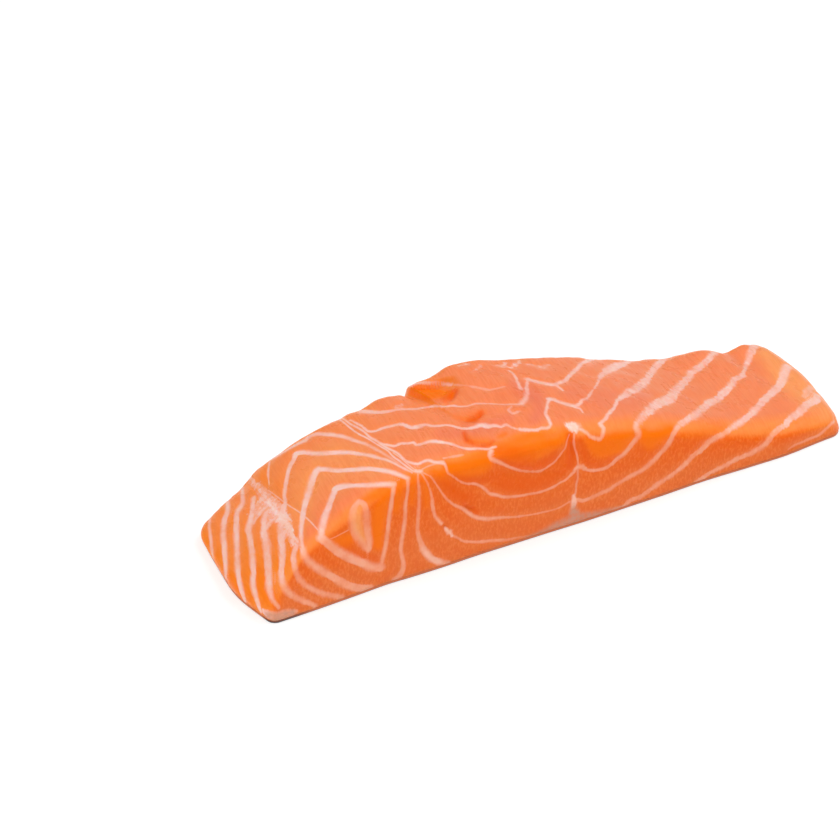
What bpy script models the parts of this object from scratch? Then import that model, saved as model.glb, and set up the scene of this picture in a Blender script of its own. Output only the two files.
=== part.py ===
"""A portion of raw salmon with its skin on, cut across a side of the fish.

X runs from the thick back of the fish to its thin belly, Y across the portion
from one cut face to the other, and the skin lies on Z = 0. The origin is the
middle of the underside's box. Lengths are in millimetres until a mesh is made.
"""

import bmesh
import bpy
import numpy as np

MM = 0.001

# Driving sizes of the plain block that the portion is shaped from
LENGTH = 165.0
WIDTH = 42.0
HEIGHT = 28.0
EDGE_RADIUS = 4.0
SKIN_THICKNESS = 0.8
GAP = 0.3

# Steps of the mesh along each side of the block
STEPS_LENGTH = 84
STEPS_WIDTH = 20
STEPS_HEIGHT = 9

# Height of the top above the table, as (x, z), over the near and the far cut face
NEAR_TOP = (
    (-82, 13.5), (-72, 18.8), (-60, 24.4), (-43, 29.2), (-34, 29.0), (-23, 28.8), (-8, 28.4), (0, 27.0),
    (18, 22.7), (32, 18.0), (53, 10.6), (65, 7.9), (75, 6.2), (83, 5.0),
)
FAR_TOP = (
    (-82, 7.0), (-73, 8.6), (-66.5, 10.0), (-63, 13.2), (-59, 15.4), (-49, 19.3), (-38, 22.1), (-31, 23.1),
    (-25.5, 22.3), (-23.4, 22.6), (-21.6, 24.4), (-16, 25.0), (-10.5, 26.8), (-5, 26.4), (3, 24.4), (15, 21.6), (25, 18.7),
    (38, 13.6), (49, 10.6), (60, 8.2), (70, 6.2), (78, 5.6), (84, 4.0),
)

# Foot of each cut face, as (x, y): a knife leaves them slightly wavy
NEAR_FOOT = (
    (-82, -21.6), (-70, -21.4), (-59, -21.0), (-50, -20.6), (-44, -20.8), (-36, -20.9), (-26, -20.7),
    (-17, -20.8), (-7, -20.9), (4, -21.1), (15, -21.0), (26, -20.9), (38, -20.6), (50, -20.9),
    (62, -21.0), (72, -20.1), (82, -19.4),
)
FAR_FOOT = ((-82, 20.8), (-60, 21.6), (-38, 21.0), (-15, 21.7), (10, 21.2), (35, 21.6), (60, 21.0), (82, 21.4))

# Torn places on the top, as (x, y, half length, half width, depth, turn in degrees)
TEARS = (
    (-20.5, 9.0, 7.0, 1.7, 1.5, -72.0),
    (-16.5, -5.0, 5.5, 1.6, 1.0, -38.0),
    (-24.5, -16.0, 5.5, 1.3, 1.0, -30.0),
)

# Muscle flakes that swell over the near top edge, as (x, half length, swell)
FLAKES = ((-9.5, 8.5, 0.7), (-26.0, 6.0, 0.5), (11.0, 7.0, 0.3), (28.0, 8.0, 0.3), (46.0, 8.0, 0.3))

FLESH_COLOUR = (0.86, 0.30, 0.13, 1.0)
SKIN_COLOUR = (0.13, 0.13, 0.13, 1.0)


def along(stations, x):
    """Value at x of a smooth line through the stations."""
    places, values = np.array(stations, float).T
    steps = np.diff(places)
    slopes = np.diff(values) / steps
    tangents = np.concatenate([slopes[:1], (slopes[:-1] + slopes[1:]) / 2, slopes[-1:]])
    x = np.clip(x, places[0], places[-1])
    i = np.clip(np.searchsorted(places, x) - 1, 0, len(steps) - 1)
    u = (x - places[i]) / steps[i]
    start = (2 * u**3 - 3 * u**2 + 1) * values[i] + (u**3 - 2 * u**2 + u) * steps[i] * tangents[i]
    end = (3 * u**2 - 2 * u**3) * values[i + 1] + (u**3 - u**2) * steps[i] * tangents[i + 1]
    return start + end


def ramp(low, high, value):
    """Smooth step from 0 at low to 1 at high."""
    u = np.clip((value - low) / (high - low), 0.0, 1.0)
    return u * u * (3.0 - 2.0 * u)


def rounded(points):
    """The block's points with its upright and top edges rounded; the foot stays sharp."""
    low = np.array([EDGE_RADIUS, EDGE_RADIUS, -np.inf])
    high = np.array([LENGTH, WIDTH, HEIGHT]) - EDGE_RADIUS
    inner = np.clip(points, low, high)
    offset = points - inner
    reach = np.linalg.norm(offset, axis=1)
    share = np.abs(offset).max(axis=1) / np.maximum(reach, 1e-9)
    return inner + offset * share[:, None]


def back_end(across, up):
    """X of the end by the fish's back, at shares across and up: it swells low down and leans in."""
    foot = -81.2 - 6.0 * across * (1 - across) + 2.6 * across**2
    swell = 1.1 * np.sin(np.pi * np.clip(up / 0.75, 0, 1))
    lean = (7.2 + 3.2 * across) * np.clip(up, 0, 1) ** 2.2
    return foot - swell + lean


def belly_end(across):
    """X of the thin end, which is cut askew with a round near corner."""
    return 78.8 + 6.4 * np.sin(np.pi * (0.04 + 0.60 * across)) - 1.0 * np.exp(-across / 0.06)


def top_height(x, y):
    """Height of the top above the table, before the tears."""
    across = np.clip((y - NEAR_FOOT[0][1]) / WIDTH, 0, 1)
    crown = 3.2 * across * (1 - across) * ramp(-82, -60, x) * (1 - ramp(40, 80, x))
    near = along(NEAR_TOP, x)
    return near + (along(FAR_TOP, x) - near) * across + crown


def tear_depth(x, y):
    """Depth of the torn places: each is steep on one side and runs out on the other."""
    depth = np.zeros_like(x)
    for middle_x, middle_y, half_length, half_width, deepest, turn in TEARS:
        cos, sin = np.cos(np.radians(turn)), np.sin(np.radians(turn))
        u = ((x - middle_x) * cos + (y - middle_y) * sin) / half_length
        v = (-(x - middle_x) * sin + (y - middle_y) * cos) / half_width
        v = np.where(v > 0, v * 1.6, v * 0.7)
        depth += deepest * np.exp(-(u**2 + v**2) * 1.5)
    return depth


def flake_swell(x, up):
    """How far the flakes push the near cut face out, under its top edge."""
    swell = np.zeros_like(x)
    for middle, half_length, most in FLAKES:
        swell += most * np.exp(-(((x - middle) / half_length) ** 4))
    return swell * ramp(0.45, 0.8, up) * (1 - ramp(0.9, 1.05, up))


def shaped(points):
    """Places of the plain block's points on the portion, before it is centred."""
    block = rounded(np.asarray(points, float))
    lengthwise, across, up = (block / (LENGTH, WIDTH, HEIGHT)).T
    start = back_end(across, up)
    x = start + (belly_end(across) - start) * lengthwise
    near = along(NEAR_FOOT, x) - flake_swell(x, up)
    y = near + (along(FAR_FOOT, x) - near) * across
    tip = np.clip((lengthwise - 0.975) / 0.025, 0, 1)
    floor = SKIN_THICKNESS + GAP
    top = top_height(x, y) * np.sqrt(1 - 0.75 * tip**2) - tear_depth(x, y)
    z = floor + (top - floor) * up
    return np.stack([x, y, z], axis=1)


def spaced(size, steps, round_low, round_high):
    """Steps along one side of the block, with two close ones at each round edge."""
    low = [0.0, EDGE_RADIUS * 0.35] if round_low else []
    high = [size - EDGE_RADIUS * 0.35, size] if round_high else []
    start = EDGE_RADIUS if round_low else 0.0
    end = size - EDGE_RADIUS if round_high else size
    middle = np.linspace(start, end, steps - len(low) - len(high) + 1)
    return np.concatenate([low, middle, high])


def add_quads(mesh, vertex, first, second, flip):
    """Quads over a lattice side, whose corners vertex(a, b) gives for each a of first and b of second."""
    for a in range(first):
        for b in range(second):
            corners = [vertex(a, b), vertex(a + 1, b), vertex(a + 1, b + 1), vertex(a, b + 1)]
            mesh.faces.new(corners[::-1] if flip else corners)


def underside_rows(count_x, count_y):
    """Lattice steps round each face of the flat underside: one strip for each step along the length."""
    yield [(0, j) for j in range(count_y + 1)] + [(1, count_y), (1, 0)]
    for i in range(1, count_x - 1):
        yield [(i, 0), (i, count_y), (i + 1, count_y), (i + 1, 0)]
    last = count_x - 1
    yield [(last, 0), (last, count_y)] + [(count_x, j) for j in range(count_y, -1, -1)]


def block_steps():
    """Steps of the block's lattice along X, Y and Z."""
    return (
        spaced(LENGTH, STEPS_LENGTH, True, True),
        spaced(WIDTH, STEPS_WIDTH, True, True),
        spaced(HEIGHT, STEPS_HEIGHT, False, True),
    )


def make_flesh():
    """The flesh: the block's lattice, moved to the portion's shape."""
    xs, ys, zs = block_steps()
    nx, ny, nz = len(xs) - 1, len(ys) - 1, len(zs) - 1
    mesh = bmesh.new()
    corners = {}

    def corner(i, j, k):
        if (i, j, k) not in corners:
            corners[i, j, k] = mesh.verts.new((xs[i], ys[j], zs[k]))
        return corners[i, j, k]

    add_quads(mesh, lambda i, j: corner(i, j, nz), nx, ny, False)
    add_quads(mesh, lambda i, k: corner(i, 0, k), nx, nz, False)
    add_quads(mesh, lambda i, k: corner(i, ny, k), nx, nz, True)
    add_quads(mesh, lambda j, k: corner(0, j, k), ny, nz, True)
    add_quads(mesh, lambda j, k: corner(nx, j, k), ny, nz, False)
    for row in underside_rows(nx, ny):
        mesh.faces.new([corner(i, j, 0) for i, j in row])
    places = shaped([vertex.co for vertex in mesh.verts])
    for vertex, place in zip(mesh.verts, places):
        vertex.co = place
    return mesh


def make_skin():
    """The skin: a thin sheet under the flesh with the same outline."""
    xs, ys, _ = block_steps()
    nx, ny = len(xs) - 1, len(ys) - 1
    mesh = bmesh.new()
    corners = {}

    def corner(i, j):
        if (i, j) not in corners:
            corners[i, j] = mesh.verts.new((xs[i], ys[j], 0.0))
        return corners[i, j]

    for row in underside_rows(nx, ny):
        mesh.faces.new([corner(i, j) for i, j in row])
    places = shaped([vertex.co for vertex in mesh.verts])
    for vertex, place in zip(mesh.verts, places):
        vertex.co = (place[0], place[1], 0.0)
    top = bmesh.ops.extrude_face_region(mesh, geom=mesh.faces[:])["geom"]
    raised = [item for item in top if isinstance(item, bmesh.types.BMVert)]
    bmesh.ops.translate(mesh, verts=raised, vec=(0, 0, SKIN_THICKNESS))
    bmesh.ops.recalc_face_normals(mesh, faces=mesh.faces[:])
    return mesh


def material(name, colour, roughness):
    """A plain material."""
    result = bpy.data.materials.new(name)
    result.use_nodes = True
    shader = result.node_tree.nodes["Principled BSDF"]
    shader.inputs["Base Color"].default_value = colour
    shader.inputs["Roughness"].default_value = roughness
    shader.inputs["Metallic"].default_value = 0.0
    result.diffuse_color = colour
    return result


def add_object(name, mesh, centre, look):
    """Adds a shaded object in metres, with its mesh moved so that centre is at X = Y = 0."""
    bmesh.ops.translate(mesh, verts=mesh.verts[:], vec=(-centre[0], -centre[1], 0))
    bmesh.ops.scale(mesh, verts=mesh.verts[:], vec=(MM, MM, MM))
    data = bpy.data.meshes.new(name)
    mesh.to_mesh(data)
    mesh.free()
    data.materials.append(look)
    data.shade_smooth()
    data.set_sharp_from_angle(angle=np.radians(40))
    bpy.context.collection.objects.link(bpy.data.objects.new(name, data))


def main():
    for old in list(bpy.data.objects):
        bpy.data.objects.remove(old, do_unlink=True)
    flesh = make_flesh()
    skin = make_skin()
    places = np.array([vertex.co for mesh in (flesh, skin) for vertex in mesh.verts])
    centre = (places.min(axis=0) + places.max(axis=0)) / 2
    add_object("flesh", flesh, centre, material("raw_salmon", FLESH_COLOUR, 0.3))
    add_object("skin", skin, centre, material("salmon_skin", SKIN_COLOUR, 0.35))


main()
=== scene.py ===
"""Looks of the raw salmon portion: flesh with its fat lines, and the skin below it.

Shapes are worked out in millimetres in the part's frame, with X from the fish's back
to its belly, Y along the fish and Z up, and meshes are made in metres.
"""

import math

import bpy
import numpy as np
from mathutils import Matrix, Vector, noise
from mathutils.bvhtree import BVHTree


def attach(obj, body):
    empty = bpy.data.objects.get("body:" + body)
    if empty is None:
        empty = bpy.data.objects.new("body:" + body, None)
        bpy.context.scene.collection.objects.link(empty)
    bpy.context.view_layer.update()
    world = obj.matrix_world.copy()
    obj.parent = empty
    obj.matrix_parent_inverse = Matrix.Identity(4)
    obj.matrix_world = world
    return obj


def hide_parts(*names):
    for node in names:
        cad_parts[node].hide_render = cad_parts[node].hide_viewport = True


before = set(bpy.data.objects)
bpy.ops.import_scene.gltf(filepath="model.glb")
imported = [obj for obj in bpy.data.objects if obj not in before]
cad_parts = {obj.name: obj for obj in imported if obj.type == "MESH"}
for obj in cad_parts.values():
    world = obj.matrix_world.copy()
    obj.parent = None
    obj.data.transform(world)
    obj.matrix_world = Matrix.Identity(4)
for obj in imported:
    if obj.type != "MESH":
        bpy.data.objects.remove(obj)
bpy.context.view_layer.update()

MM = 0.001

# Driving sizes of the plain block that the portion is shaped from
LENGTH = 165.0
WIDTH = 42.0
HEIGHT = 28.0
EDGE_RADIUS = 4.0
NEAR_EDGE_RADIUS = 6.5
FOOT_EDGE_RADIUS = 2.0
FAR_BACK_GAIN = 1.8
FLESH_FOOT = 0.86

# Shares of the width over which the near edges' rounding gives way to the far ones'
NEAR_ROUNDING = (0.2, 0.6)

# Distance from the back end over which the far corner's greater rounding ends
FAR_BACK_FADE = (8.0, 20.0)

# Share of the height by which an upright edge's rounding is fully grown, and the most that a top edge's
# rounding makes up for the thinning of the portion
GROWN_BY = 0.6
MOST_THINNED = 3

# Middle of the solids' box before they were centred
BOX_MIDDLE = (1.19, 0.05)

# Foot of the back end: X at the near side, how far it bows out and slants, and a bump on it as (height,
# middle and half width as shares of the width)
BACK_FOOT = -81.2
BACK_BOW = 6.0
BACK_SLANT = 2.6
BACK_BUMP = (0.95, 0.33, 0.21)

# Upright shape of the back end: how far it swells out low down, and by which share of the height that
# ends; how far it leans in at the top, at the near side and how much more at the far one, and with which
# power of the height
BACK_SWELL = 1.1
BACK_SWELL_TOP = 0.75
BACK_LEAN = (7.2, 3.2)
BACK_LEAN_POWER = 2.2

# Belly end: X that it starts from, how far it bows out, start and length of the bow in half turns of a
# sine, and how far its near corner is rounded, over which share of the width
BELLY_FOOT = 78.8
BELLY_BOW = 6.4
BELLY_ARC = (0.04, 0.60)
BELLY_CORNER = (1.0, 0.06)

# Share of the length at which the top turns down to the belly end, and how far it falls
TIP_START = 0.975
TIP_FALL = 0.75

# Crown of the top in mm, and where along X it rises and falls
CROWN = 3.2
CROWN_RISE = (-82, -60)
CROWN_FALL = (40, 80)

# How far to each side along X the far edge's small steps are smoothed, away from that edge
STEP_SMOOTHING = 7.0

# Steps of the fine meshes along each side of the block
FLESH_STEPS = (388, 100, 54)
SKIN_STEPS = (330, 84)

# Stretch along the block's length where the fine mesh is denser, over what length it gets denser, and how
# much denser
DENSE = (34.0, 90.0)
DENSE_FADE = 5.0
DENSE_GAIN = 0.4

# Camera that matches the photograph
CAMERA_AZIMUTH = -29.87
CAMERA_ELEVATION = 32.0
CAMERA_DISTANCE = 873.8
CAMERA_LENS = 150.0
CAMERA_SENSOR = 36.0
CAMERA_TARGET = (-9.16, 38.33, 0.0)
PHOTO_SIDE = 840
PIXELS_PER_MM = 4.2

# Height of the top above the table, as (x, z), over the near and the far cut face
NEAR_TOP = (
    (-82, 13.5), (-72, 18.8), (-60, 24.4), (-43, 29.2), (-34, 29.0), (-23, 28.8), (-8, 28.4),
    (0, 27.0), (18, 22.7), (32, 18.0), (53, 10.6), (65, 7.9), (75, 6.2), (83, 5.0),
)
FAR_TOP = (
    (-82, 7.0), (-73, 8.6), (-66.5, 10.0), (-63, 13.2), (-59, 15.4), (-49, 19.3), (-38, 21.9),
    (-34, 22.2), (-31, 23.4), (-28, 23.4), (-25, 22.6), (-22.3, 22.0), (-21.7, 24.3), (-20.8, 24.7),
    (-16, 25.0), (-10.5, 26.8), (-5, 26.4), (3, 24.4), (15, 21.4), (25, 18.4), (31, 16.2), (38, 13.6),
    (49, 10.4), (58, 9.2), (63, 8.7), (67.5, 7.5), (71.5, 5.2), (74.5, 5.4), (77, 5.9), (80, 5.3),
    (84, 4.0),
)

# Foot of each cut face, as (x, y): a knife leaves them slightly wavy
NEAR_FOOT = (
    (-82, -21.6), (-70, -21.4), (-59, -21.0), (-50, -20.6), (-44, -20.8), (-36, -20.9), (-26, -20.7),
    (-17, -20.8), (-7, -20.9), (4, -21.1), (15, -21.0), (26, -20.9), (38, -20.6), (50, -20.9),
    (62, -21.0), (72, -20.1), (82, -19.4),
)
FAR_FOOT = (
    (-82, 20.8), (-60, 21.6), (-38, 21.0), (-15, 21.7), (10, 21.2), (35, 21.6), (60, 21.0), (82, 21.4),
)

# Torn places on the top, as (x, y, half length, half width, depth, turn in degrees), how steep they are on
# one side and on the other, and how narrow
TEARS = (
    (-16.5, -5.0, 5.5, 1.6, 0.4, -38.0),
    (-24.5, -16.0, 5.5, 1.3, 0.4, -30.0),
)
TEAR_STEEP = 1.6
TEAR_GENTLE = 0.7
TEAR_NARROW = 1.5

# Wall below the torn plateau at the far edge: its start as (x, y), over what length it starts, how far y
# falls for each mm of x, and where along X it ends
WALL_START = (-21.4, 20.4)
WALL_SOFT_START = 0.3
WALL_SLANT = 0.72
WALL_END = (-16.0, -12.0)

# Drop of the top at that wall, where it begins and ends on the way to the near side, and how far it then
# runs out
WALL_DROP = 2.5
WALL_STEP = (-0.25, 0.35)
WALL_RUN_OUT = 6.0

# Muscle flakes that swell over the near top edge, as (x, half length, swell), and the shares of the
# height between which they rise and fall
FLAKES = ((-9.5, 8.5, 0.7), (-26.0, 6.0, 0.5), (11.0, 7.0, 0.3), (28.0, 8.0, 0.3), (46.0, 8.0, 0.3))
FLAKE_RISE = (0.45, 0.8)
FLAKE_FALL = (0.9, 1.05)

# Fat lines, followed on the photograph. Each is: widths in pixels, spread evenly along it; how ragged its
# edges are, in mm; how pale it is, as one number or several spread evenly along it, where more than 1 is
# whiter than plain fat, partly as white fat and partly as a painted glint; and its pixels, as x and y in
# turn.
FAT_LINES = {
    "back_stripe_1": ((2.5, 3), 0.1, 0.75, (210, 516, 209, 525, 210, 535, 211, 548, 213, 558)),
    "back_stripe_2": ((4, 5, 5, 3), 0.12, 0.9, (
        227, 497, 227, 510, 224, 520, 223, 535, 224, 550, 225, 565, 225, 578)),
    "back_stripe_3": ((3, 5, 5, 5, 3), 0.14, 0.95, (
        242, 490, 242, 503, 237, 512, 236, 522, 236, 540, 237, 560, 238, 575, 241, 590, 245, 602)),
    "back_stripe_4": ((4, 6, 5, 5, 3), 0.2, 0.95, (
        253, 497, 252, 510, 250, 520, 248, 530, 250, 540, 252, 555, 253, 570, 253, 585, 256, 600, 260, 612)),
    "back_stripe_5": ((5, 7, 7, 6, 3), 0.25, 0.95, (
        266, 512, 264, 520, 264, 532, 266, 545, 267, 560, 268, 575, 269, 590, 273, 600, 279, 608)),
    "back_stripe_6": ((6, 7, 6, 6, 5), 0.25, 0.9, (
        283, 505, 281, 525, 281, 540, 282, 552, 281, 565, 281, 575, 283, 585, 288, 592, 296, 598,
        305, 602, 315, 606)),
    "back_stripe_7": ((5, 5, 5), 0.2, 0.85, (
        296, 546, 293, 556, 294, 565, 297, 574, 302, 582, 310, 588, 320, 593, 332, 596, 345, 598)),
    "fat_seam": ((5, 9, 17, 19, 14, 9, 8, 5), 0.7, 1.0, (
        256, 485, 262, 492, 268, 500, 272, 508, 279, 515, 285, 522, 288, 530, 291, 538, 297, 543, 303, 548)),
    "fat_seam_edge": ((2, 4, 6, 5, 2), 0.5, 1.1, (
        266, 499, 271, 506, 277, 512, 283, 519, 288, 526, 292, 535, 297, 541)),
    "seam_spur_1": ((2, 4, 2), 0.4, 0.9, (268, 505, 261, 511, 256, 517, 253, 523)),
    "seam_spur_2": ((2, 5, 2), 0.4, 0.9, (277, 516, 271, 521, 267, 527, 264, 535)),
    "seam_spur_3": ((2, 4, 2), 0.4, 0.9, (288, 528, 284, 534, 282, 541)),
    "ring_1_top": ((6, 4, 4, 4.5, 5), 0.12, 1.0, (
        336, 488, 345, 486, 360, 485, 372, 484.5, 385, 484, 394, 484.5)),
    "ring_1_right": ((3.5,), 0.12, 0.9, (
        394, 486, 392, 500, 390, 515, 388, 530, 386, 545, 383, 558, 381, 568)),
    "ring_1_foot": ((8, 8.5, 8), 0.15, 1.0, (
        381, 568, 372, 567, 362, 563, 350, 558, 340, 553, 332, 547, 326, 542, 321, 538)),
    "ring_1_left": ((5, 7, 6, 5.5, 5), 0.15, 1.0, (
        321, 538, 322, 528, 325, 515, 329, 505, 332, 497, 336, 488)),
    "ring_2_top": ((4,), 0.12, 1.0, (
        317, 469, 325, 469, 335, 470, 350, 469.5, 360, 469, 370, 468.5, 382, 470, 395, 473, 403, 476,
        408, 478)),
    "ring_2_right": ((3, 3, 3.5, 5), 0.12, 0.9, (
        408, 478, 408, 490, 406, 505, 405, 520, 403, 535, 401, 548, 402, 556, 404, 565, 402, 573,
        397, 578, 390, 582)),
    "ring_2_left": ((5.5, 6, 5, 4, 3.5), 0.15, 1.0, (
        317, 469, 313, 477, 310, 487, 307, 498, 304, 508, 302, 517, 301, 528, 301, 540, 303, 550)),
    "ring_2_foot": ((6, 7, 7.5, 6), 0.15, 1.0, (
        303, 550, 306, 558, 313, 565, 322, 571, 333, 577, 345, 584, 357, 588, 370, 588, 385, 584)),
    "ring_3_top": ((4, 4, 3.5, 2.5, 2), 0.12, (1.0, 1.0, 0.95, 0.8), (
        296, 453, 303, 452, 315, 453, 327, 453, 340, 452, 355, 453, 368, 455, 380, 458, 390, 461,
        402, 467, 412, 472)),
    "ring_3_left": ((4, 3), 0.15, 0.95, (
        296, 453, 293, 460, 289, 468, 287, 477, 285, 487, 284, 495, 285, 503, 284, 512, 290, 520)),
    "ring_4_top": ((3.5, 3.5, 3, 2.5, 1.5), 0.12, (1.0, 0.9, 0.6, 0.35), (
        305, 440, 308, 437, 315, 434, 325, 434, 335, 435, 345, 436.5, 355, 440, 367, 444, 378, 450,
        388, 456, 400, 464)),
    "far_short": ((1.5, 2, 1), 0.1, 0.7, (269, 462, 268, 470, 268, 478, 269, 485)),
    "crease_1": ((1.2,), 0.05, 0.7, (
        268, 490, 275, 495, 283, 501, 290, 506, 298, 511, 303, 515, 310, 521, 318, 530)),
    "crease_2": ((1.0,), 0.05, 0.55, (328, 540, 338, 536, 349, 530)),
    "core_right": ((4, 6, 7, 7, 6, 5), 0.15, (0.6, 0.6, 0.6, 0.75, 0.95), (
        359, 501.5, 364, 504, 366.5, 511, 367, 522, 368, 533, 369.5, 542, 369.5, 549)),
    "core_left": ((4, 7, 7, 8, 6), 0.15, (0.6, 0.5, 0.45, 0.6, 0.9), (
        359, 501.5, 354, 508, 352.5, 517, 353, 527, 357, 537, 364, 545, 369, 550)),
    "ridge_1": ((1.6, 1.4, 1.4, 1.8), 0.05, 0.95, (
        342, 421, 350, 427.5, 359, 433.5, 366, 437, 374, 442, 382, 447, 388, 450.5, 392, 455, 402, 462.5,
        408, 467, 414, 471, 418, 472)),
    "ridge_2": ((1.6, 1.8, 2.2, 2, 2.4, 2.6, 2.8), 0.1, 0.95, (
        344, 419, 350, 423.5, 358, 427.5, 365, 432, 370, 437, 375, 439.5, 382, 444.5, 388, 448,
        394, 450.5, 400, 454.5, 404, 459, 412, 462.5, 418, 463.5, 424, 461, 428, 460, 434, 462,
        440, 462.5, 444, 463.5)),
    "ridge_3": ((1.1,), 0.05, 0.8, (393, 452, 400, 457, 407, 463, 413, 468, 417, 471)),
    "ridge_knot": ((4, 4, 3), 0.2, 1.0, (416, 470.5, 418, 471, 421, 471)),
    "ridge_end": ((1.2,), 0.1, 0.5, (420, 470.5, 426, 467, 431, 465, 436, 463.5)),
    "fan_1": ((1.5, 3, 3, 3.5, 6, 6, 4), 0.12, (0.6, 0.55, 0.6, 0.7, 1.05, 1.08, 0.8), (
        418, 471, 418, 478, 419, 490, 419.5, 500, 419, 512, 418, 525, 418, 532, 420, 540, 423, 548,
        427, 554, 432, 559, 440, 562, 450, 563, 458, 562)),
    "fan_2": ((1.3, 2, 3, 3.6), 0.12, (0.6, 0.5, 0.8, 1.0), (
        421, 472, 427, 482, 430, 490, 432, 498, 433, 507, 435, 515, 438, 520, 442, 524)),
    "fan_2_knot": ((3, 5, 2.5), 0.25, 1.1, (446, 529, 449, 532, 452, 536)),
    "fan_2_low": ((3, 2, 2.6, 2.6, 2, 1.5), 0.12, (0.9, 0.7, 0.85, 0.9, 0.7, 0.4), (
        446, 530, 453, 536, 458, 538, 463, 541, 471, 542, 480, 542, 489, 541, 507, 540, 516, 538, 529, 536)),
    "fan_3": ((1.4, 1.8, 2.2, 3.6, 3.6, 2, 1.5, 1.3, 1.6), 0.1, (
        0.6, 0.6, 0.7, 0.95, 0.95, 0.7, 0.65, 0.55, 0.6), (
        424, 473, 431, 477, 436, 484, 440, 490, 445, 497, 450, 502, 454, 505, 461, 508, 466, 511,
        471, 515, 478, 518, 486, 519, 498, 518, 516, 517, 529, 515, 540, 513, 550, 511, 560, 508,
        565, 505, 570, 502)),
    "fan_4": ((2.5, 2, 2, 3, 3, 2.2, 2, 1.8, 2.2), 0.1, (0.9, 0.65, 0.7, 1.0, 0.95, 0.8, 0.75, 0.75, 0.8), (
        438, 462, 443, 462, 446, 467, 448, 473, 454, 477, 461, 482, 468, 484, 474, 484, 480, 486,
        486, 490, 490, 494, 496, 495, 503, 497, 512, 497, 520, 496, 529, 494.5, 538, 493, 545, 491,
        550, 489, 556, 486, 560, 483, 566, 480, 571, 475, 575, 472)),
    "fan_5": ((4.5, 3, 2, 1.8, 1.5, 1.3), 0.12, (0.9, 0.85, 0.8, 0.7, 0.6, 0.5), (
        491, 451, 490, 457, 495, 460.5, 501, 463, 507, 466, 514, 469, 520, 471, 529, 472, 538, 472,
        543, 471, 549, 466, 554, 463, 558, 458, 562, 452, 565, 448, 567, 441, 569, 437, 570, 434)),
    "middle_septum": ((1.5,), 0.1, 0.75, (
        574.5, 433, 574.5, 442, 576, 451, 577.6, 457, 578.5, 463, 578.5, 474, 578.5, 479, 577, 486,
        576.7, 491, 575.4, 496, 574, 502)),
    "septum_knot_1": ((2, 5.5, 2), 0.25, 1.0, (575, 470, 580, 467, 586, 469)),
    "septum_knot_2": ((3, 6, 4), 0.2, 1.08, (574, 496, 574.3, 501.5, 573.5, 507)),
    "white_blob": ((4, 8, 9, 5), 0.5, 1.13, (568.5, 424.5, 571.5, 426, 575, 427, 577.5, 428)),
    "fat_corner": ((5, 10, 12, 9, 3), 0.4, 0.95, (264, 613, 270, 615.5, 277, 617, 286, 614.5, 296, 611)),
    "seam_patch": ((5, 10, 9, 4), 0.7, 0.75, (263, 496, 260, 503, 255, 511, 251, 519)),
    "belly_stripe_0": ((3.5,), 0.25, 1.0, (
        528, 379, 535, 381, 543, 383, 550, 384, 556, 384, 560, 382, 565, 380, 568, 377, 572, 373,
        577, 368, 582, 363, 588, 360)),
    "belly_spur_0": ((2, 1.5), 0.1, 0.8, (556, 385, 559, 387, 563, 390)),
    "belly_leg_0": ((3, 4, 6), 0.3, 0.75, (528, 379, 527, 385, 527, 395, 525, 399, 522, 403)),
    "belly_stripe_1": ((3, 3, 3, 2), 0.25, (1.0, 1.0, 0.9, 0.7), (
        549, 399, 553, 398.6, 558, 401, 565, 403, 571, 405, 575, 406, 579, 404, 582, 400, 587, 398,
        590, 394, 592, 391)),
    "belly_stripe_1_far": ((2, 2.5, 6, 8, 7), 0.4, (0.7, 0.9, 1.0), (
        592, 391, 595, 387, 598, 382, 600, 377, 605, 372, 611, 368.5, 617, 365, 623, 363)),
    "belly_spur_1": ((2, 1.5), 0.1, 0.85, (575, 407, 580, 408, 583, 412)),
    "belly_leg_1": ((3, 3, 3, 3), 0.2, 0.95, (
        549, 400, 548, 402, 547, 407, 546, 413, 548, 417, 549.5, 421, 551, 424, 548, 428, 542, 428,
        537, 430, 529, 430, 520, 429)),
    "belly_stripe_2": ((3, 3.5, 3), 0.2, 0.95, (
        580, 429, 586, 432.5, 591, 437, 596, 438, 599.5, 439, 603, 433, 603.5, 428, 600, 424, 602, 422,
        606, 418, 608, 414, 612, 410, 615, 406, 617, 400)),
    "belly_stripe_2_far": ((3, 7, 8, 7, 6), 0.45, 0.95, (
        616.5, 401, 623, 396, 629, 392, 636, 389, 642, 384, 647, 379, 651, 373, 655, 367, 660, 362)),
    "belly_stripe_3": ((2.5, 3, 4, 5), 0.15, 0.85, (
        581, 467, 586, 470, 591, 471, 599, 470, 606, 468, 611, 465, 616, 460, 623, 455, 628, 449,
        632, 444, 636, 439, 639, 436, 639, 432, 636, 428, 637, 423)),
    "belly_stripe_3_far": ((6, 9, 10, 7, 6.5, 6), 0.45, 0.95, (
        639, 421, 643, 416, 650, 410, 657, 404, 664, 401, 671, 397, 675, 391, 681, 385, 687, 379,
        691, 373, 699, 367.5, 705, 362, 710, 357, 713, 353)),
    "belly_stripe_4": ((3, 3, 4, 5), 0.15, 0.75, (
        577, 499.5, 582, 501, 588, 499.5, 594, 497, 600, 494, 609, 490, 618, 484, 625, 480, 634, 475,
        643, 470, 650, 464, 657, 457.5, 660, 454, 668, 445, 672, 437, 676, 430, 679, 426)),
    "belly_stripe_4_far": ((6, 7, 7, 5), 0.4, 0.95, (
        681, 424, 686, 420, 693, 415.5, 701, 410, 709, 403, 718, 398, 724, 392, 730, 386, 735, 379,
        740, 377, 743, 375)),
    "belly_stripe_4_end": ((3, 3, 5, 7, 8), 0.4, 0.95, (
        740, 378, 743, 373, 745.5, 367, 747.5, 361, 750, 355, 752, 350, 754, 346)),
    "belly_stripe_5": ((3, 3.5, 3.5, 5, 6, 7, 10), 0.3, 0.9, (
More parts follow.
